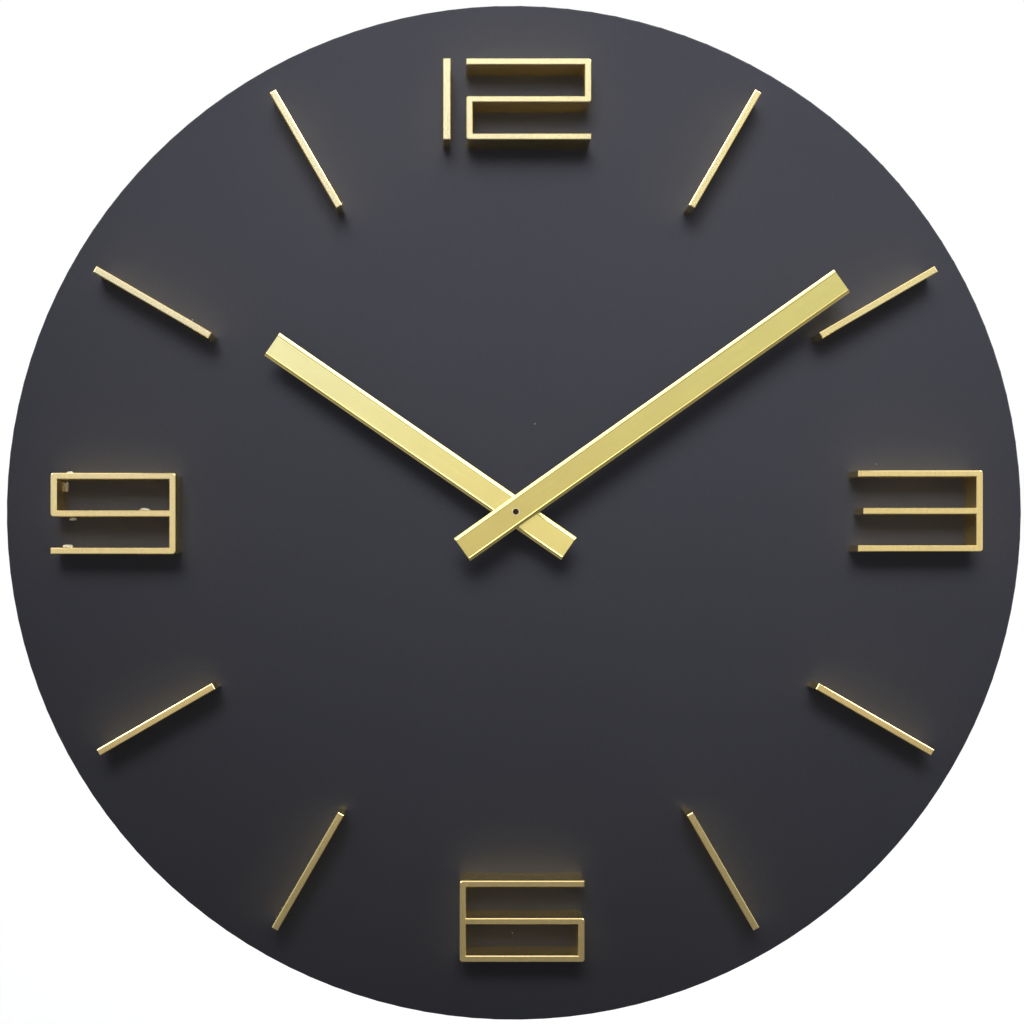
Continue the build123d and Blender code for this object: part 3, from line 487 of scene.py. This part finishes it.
def floor():
    """A plain pale floor, well below the clock, which hangs. It glows for the camera's rays only."""
    bpy.ops.mesh.primitive_plane_add(size=FLOOR_SIZE, location=(0, 0, -FLOOR_DROP))
    plane = bpy.context.object
    plane.name = "floor"
    made = grained("pale floor", (0.30, 0.30, 0.30), 0.9, mottle=0.02, mottle_scale=3.0)
    made.shader.inputs["Emission Color"].default_value = (1.0, 1.0, 1.0, 1.0)
    path = made.node("ShaderNodeLightPath")
    glow = made.math("MULTIPLY", path.outputs["Is Camera Ray"], FLOOR_GLOW)
    made.link("Emission Strength", glow)
    plane.data.materials.append(made.material)


# Which way the window's glow lies from the clock, and what it adds to the surroundings
WINDOW = (-0.20, -0.88, 0.36)
WINDOW_GLOW = (0.07, 0.14, 0.74)

# What polished metal sees around it, by height from straight down at 0 to straight up at 1. It is
# tuned until the gold looks as it does in the photo, and isn't a measured room.
SURROUNDINGS = (
    (0.00, (0.14, 0.10, 0.07)),
    (0.15, (0.20, 0.15, 0.10)),
    (0.26, (0.84, 0.70, 0.52)),
    (0.35, (0.84, 0.70, 0.57)),
    (0.42, (0.70, 0.62, 0.53)),
    (0.50, (0.88, 0.86, 0.76)),
    (0.59, (0.84, 0.94, 0.94)),
    (0.70, (0.78, 0.90, 0.98)),
    (0.755, (3.50, 3.70, 4.10)),
    (0.86, (8.00, 8.20, 8.60)),
    (0.96, (1.60, 1.60, 1.65)),
)

# How much brighter the surroundings are for the light that gold throws on the dial around it
THROWN_LIGHT = 2.0


def reflected_surroundings(node, where, height):
    """The colour that mirror directions see: bands of brightness by height, and the window's glow."""
    sky = node("ShaderNodeValToRGB", {"Fac": height})
    ramp = sky.color_ramp
    ramp.interpolation = "EASE"
    while len(ramp.elements) < len(SURROUNDINGS):
        ramp.elements.new(0.5)
    for element, (place, colour) in zip(ramp.elements, SURROUNDINGS):
        element.position = place
        element.color = (*colour, 1.0)
    towards = node("ShaderNodeVectorMath", {0: where, 1: Vector(WINDOW).normalized()},
                   operation="DOT_PRODUCT")
    near = node("ShaderNodeMapRange", {"Value": towards.outputs["Value"], 1: 0.92, 2: 0.98},
                interpolation_type="SMOOTHSTEP")
    glow = node("ShaderNodeVectorMath", {0: WINDOW_GLOW, "Scale": near.outputs[0]},
                operation="SCALE")
    both = node("ShaderNodeVectorMath", {0: sky.outputs["Color"], 1: glow.outputs[0]},
                operation="ADD")
    return both.outputs[0]


def world():
    """Studio surroundings: a white backdrop, a soft fill, and what polished metal reflects."""
    made = bpy.data.worlds.new("studio")
    bpy.context.scene.world = made
    made.use_nodes = True
    tree = made.node_tree
    tree.nodes.clear()

    def node(kind, inputs=None, **settings):
        return add_node(tree, kind, inputs, **settings)

    where = node("ShaderNodeTexCoord").outputs["Generated"]
    way = node("ShaderNodeSeparateXYZ", {0: where})
    height = node("ShaderNodeMapRange", {"Value": way.outputs["Z"], 1: -1.0, 2: 1.0})
    path = node("ShaderNodeLightPath")
    glints = reflected_surroundings(node, where, height.outputs[0])
    bounces = {"Value": path.outputs["Diffuse Depth"], 3: 1.0, 4: THROWN_LIGHT}
    thrown = node("ShaderNodeMapRange", bounces)
    reflected = node("ShaderNodeBackground", {"Color": glints, "Strength": thrown.outputs[0]})

    spread = {"Value": way.outputs["Y"], 1: -0.05, 2: 0.35, 3: 0.16, 4: 0.85}
    strength = node("ShaderNodeMapRange", spread).outputs[0]
    fill = node("ShaderNodeBackground", {"Color": (1.0, 0.99, 0.98, 1.0), "Strength": strength})
    seen = node("ShaderNodeBackground", {"Color": (1.0, 1.0, 1.0, 1.0), "Strength": 1.0})

    by_gloss = node("ShaderNodeMixShader", {0: path.outputs["Is Glossy Ray"], 1: fill.outputs[0]})
    tree.links.new(reflected.outputs[0], by_gloss.inputs[2])
    by_camera = node("ShaderNodeMixShader",
                     {0: path.outputs["Is Camera Ray"], 1: by_gloss.outputs[0]})
    tree.links.new(seen.outputs[0], by_camera.inputs[2])
    tree.links.new(by_camera.outputs[0], node("ShaderNodeOutputWorld").inputs["Surface"])


def aim(thing, place, target):
    thing.location = place
    thing.rotation_euler = (Vector(target) - Vector(place)).to_track_quat("-Z", "Y").to_euler()
    bpy.context.scene.collection.objects.link(thing)


def soft_box(name, energy, casts_shadow):
    """A large soft box with a grid, high in front, so that its light fades down the dial.

    It is hidden from reflections, which see the surroundings only.
    """
    lamp = bpy.data.lights.new(name, "AREA")
    lamp.shape = "RECTANGLE"
    lamp.size, lamp.size_y = LAMP_SIZE
    lamp.energy = energy
    lamp.color = LAMP_COLOUR
    lamp.spread = radians(LAMP_SPREAD)
    lamp.use_shadow = casts_shadow
    thing = bpy.data.objects.new(name, lamp)
    thing.visible_glossy = False
    aim(thing, LAMP_PLACE, LAMP_TARGET)


def camera():
    """Square on to the dial, a little below and left of its centre, and shifted back over it."""
    made = bpy.data.cameras.new("camera")
    made.sensor_width = 36.0
    made.lens = CAMERA_LENS
    made.shift_x, made.shift_y = CAMERA_SHIFT
    thing = bpy.data.objects.new("camera", made)
    thing.location = CAMERA_PLACE
    thing.rotation_euler = (pi / 2, 0, 0)
    bpy.context.scene.collection.objects.link(thing)
    bpy.context.scene.camera = thing


# --- the scene -------------------------------------------------------------------------------------

bpy.context.scene.view_settings.view_transform = "Standard"
slot_materials = dress()
dried_glue(slot_materials["clear_glue"])
floor()
world()
soft_box("key", KEY_POWER, True)
soft_box("fill", FILL_POWER, False)
camera()
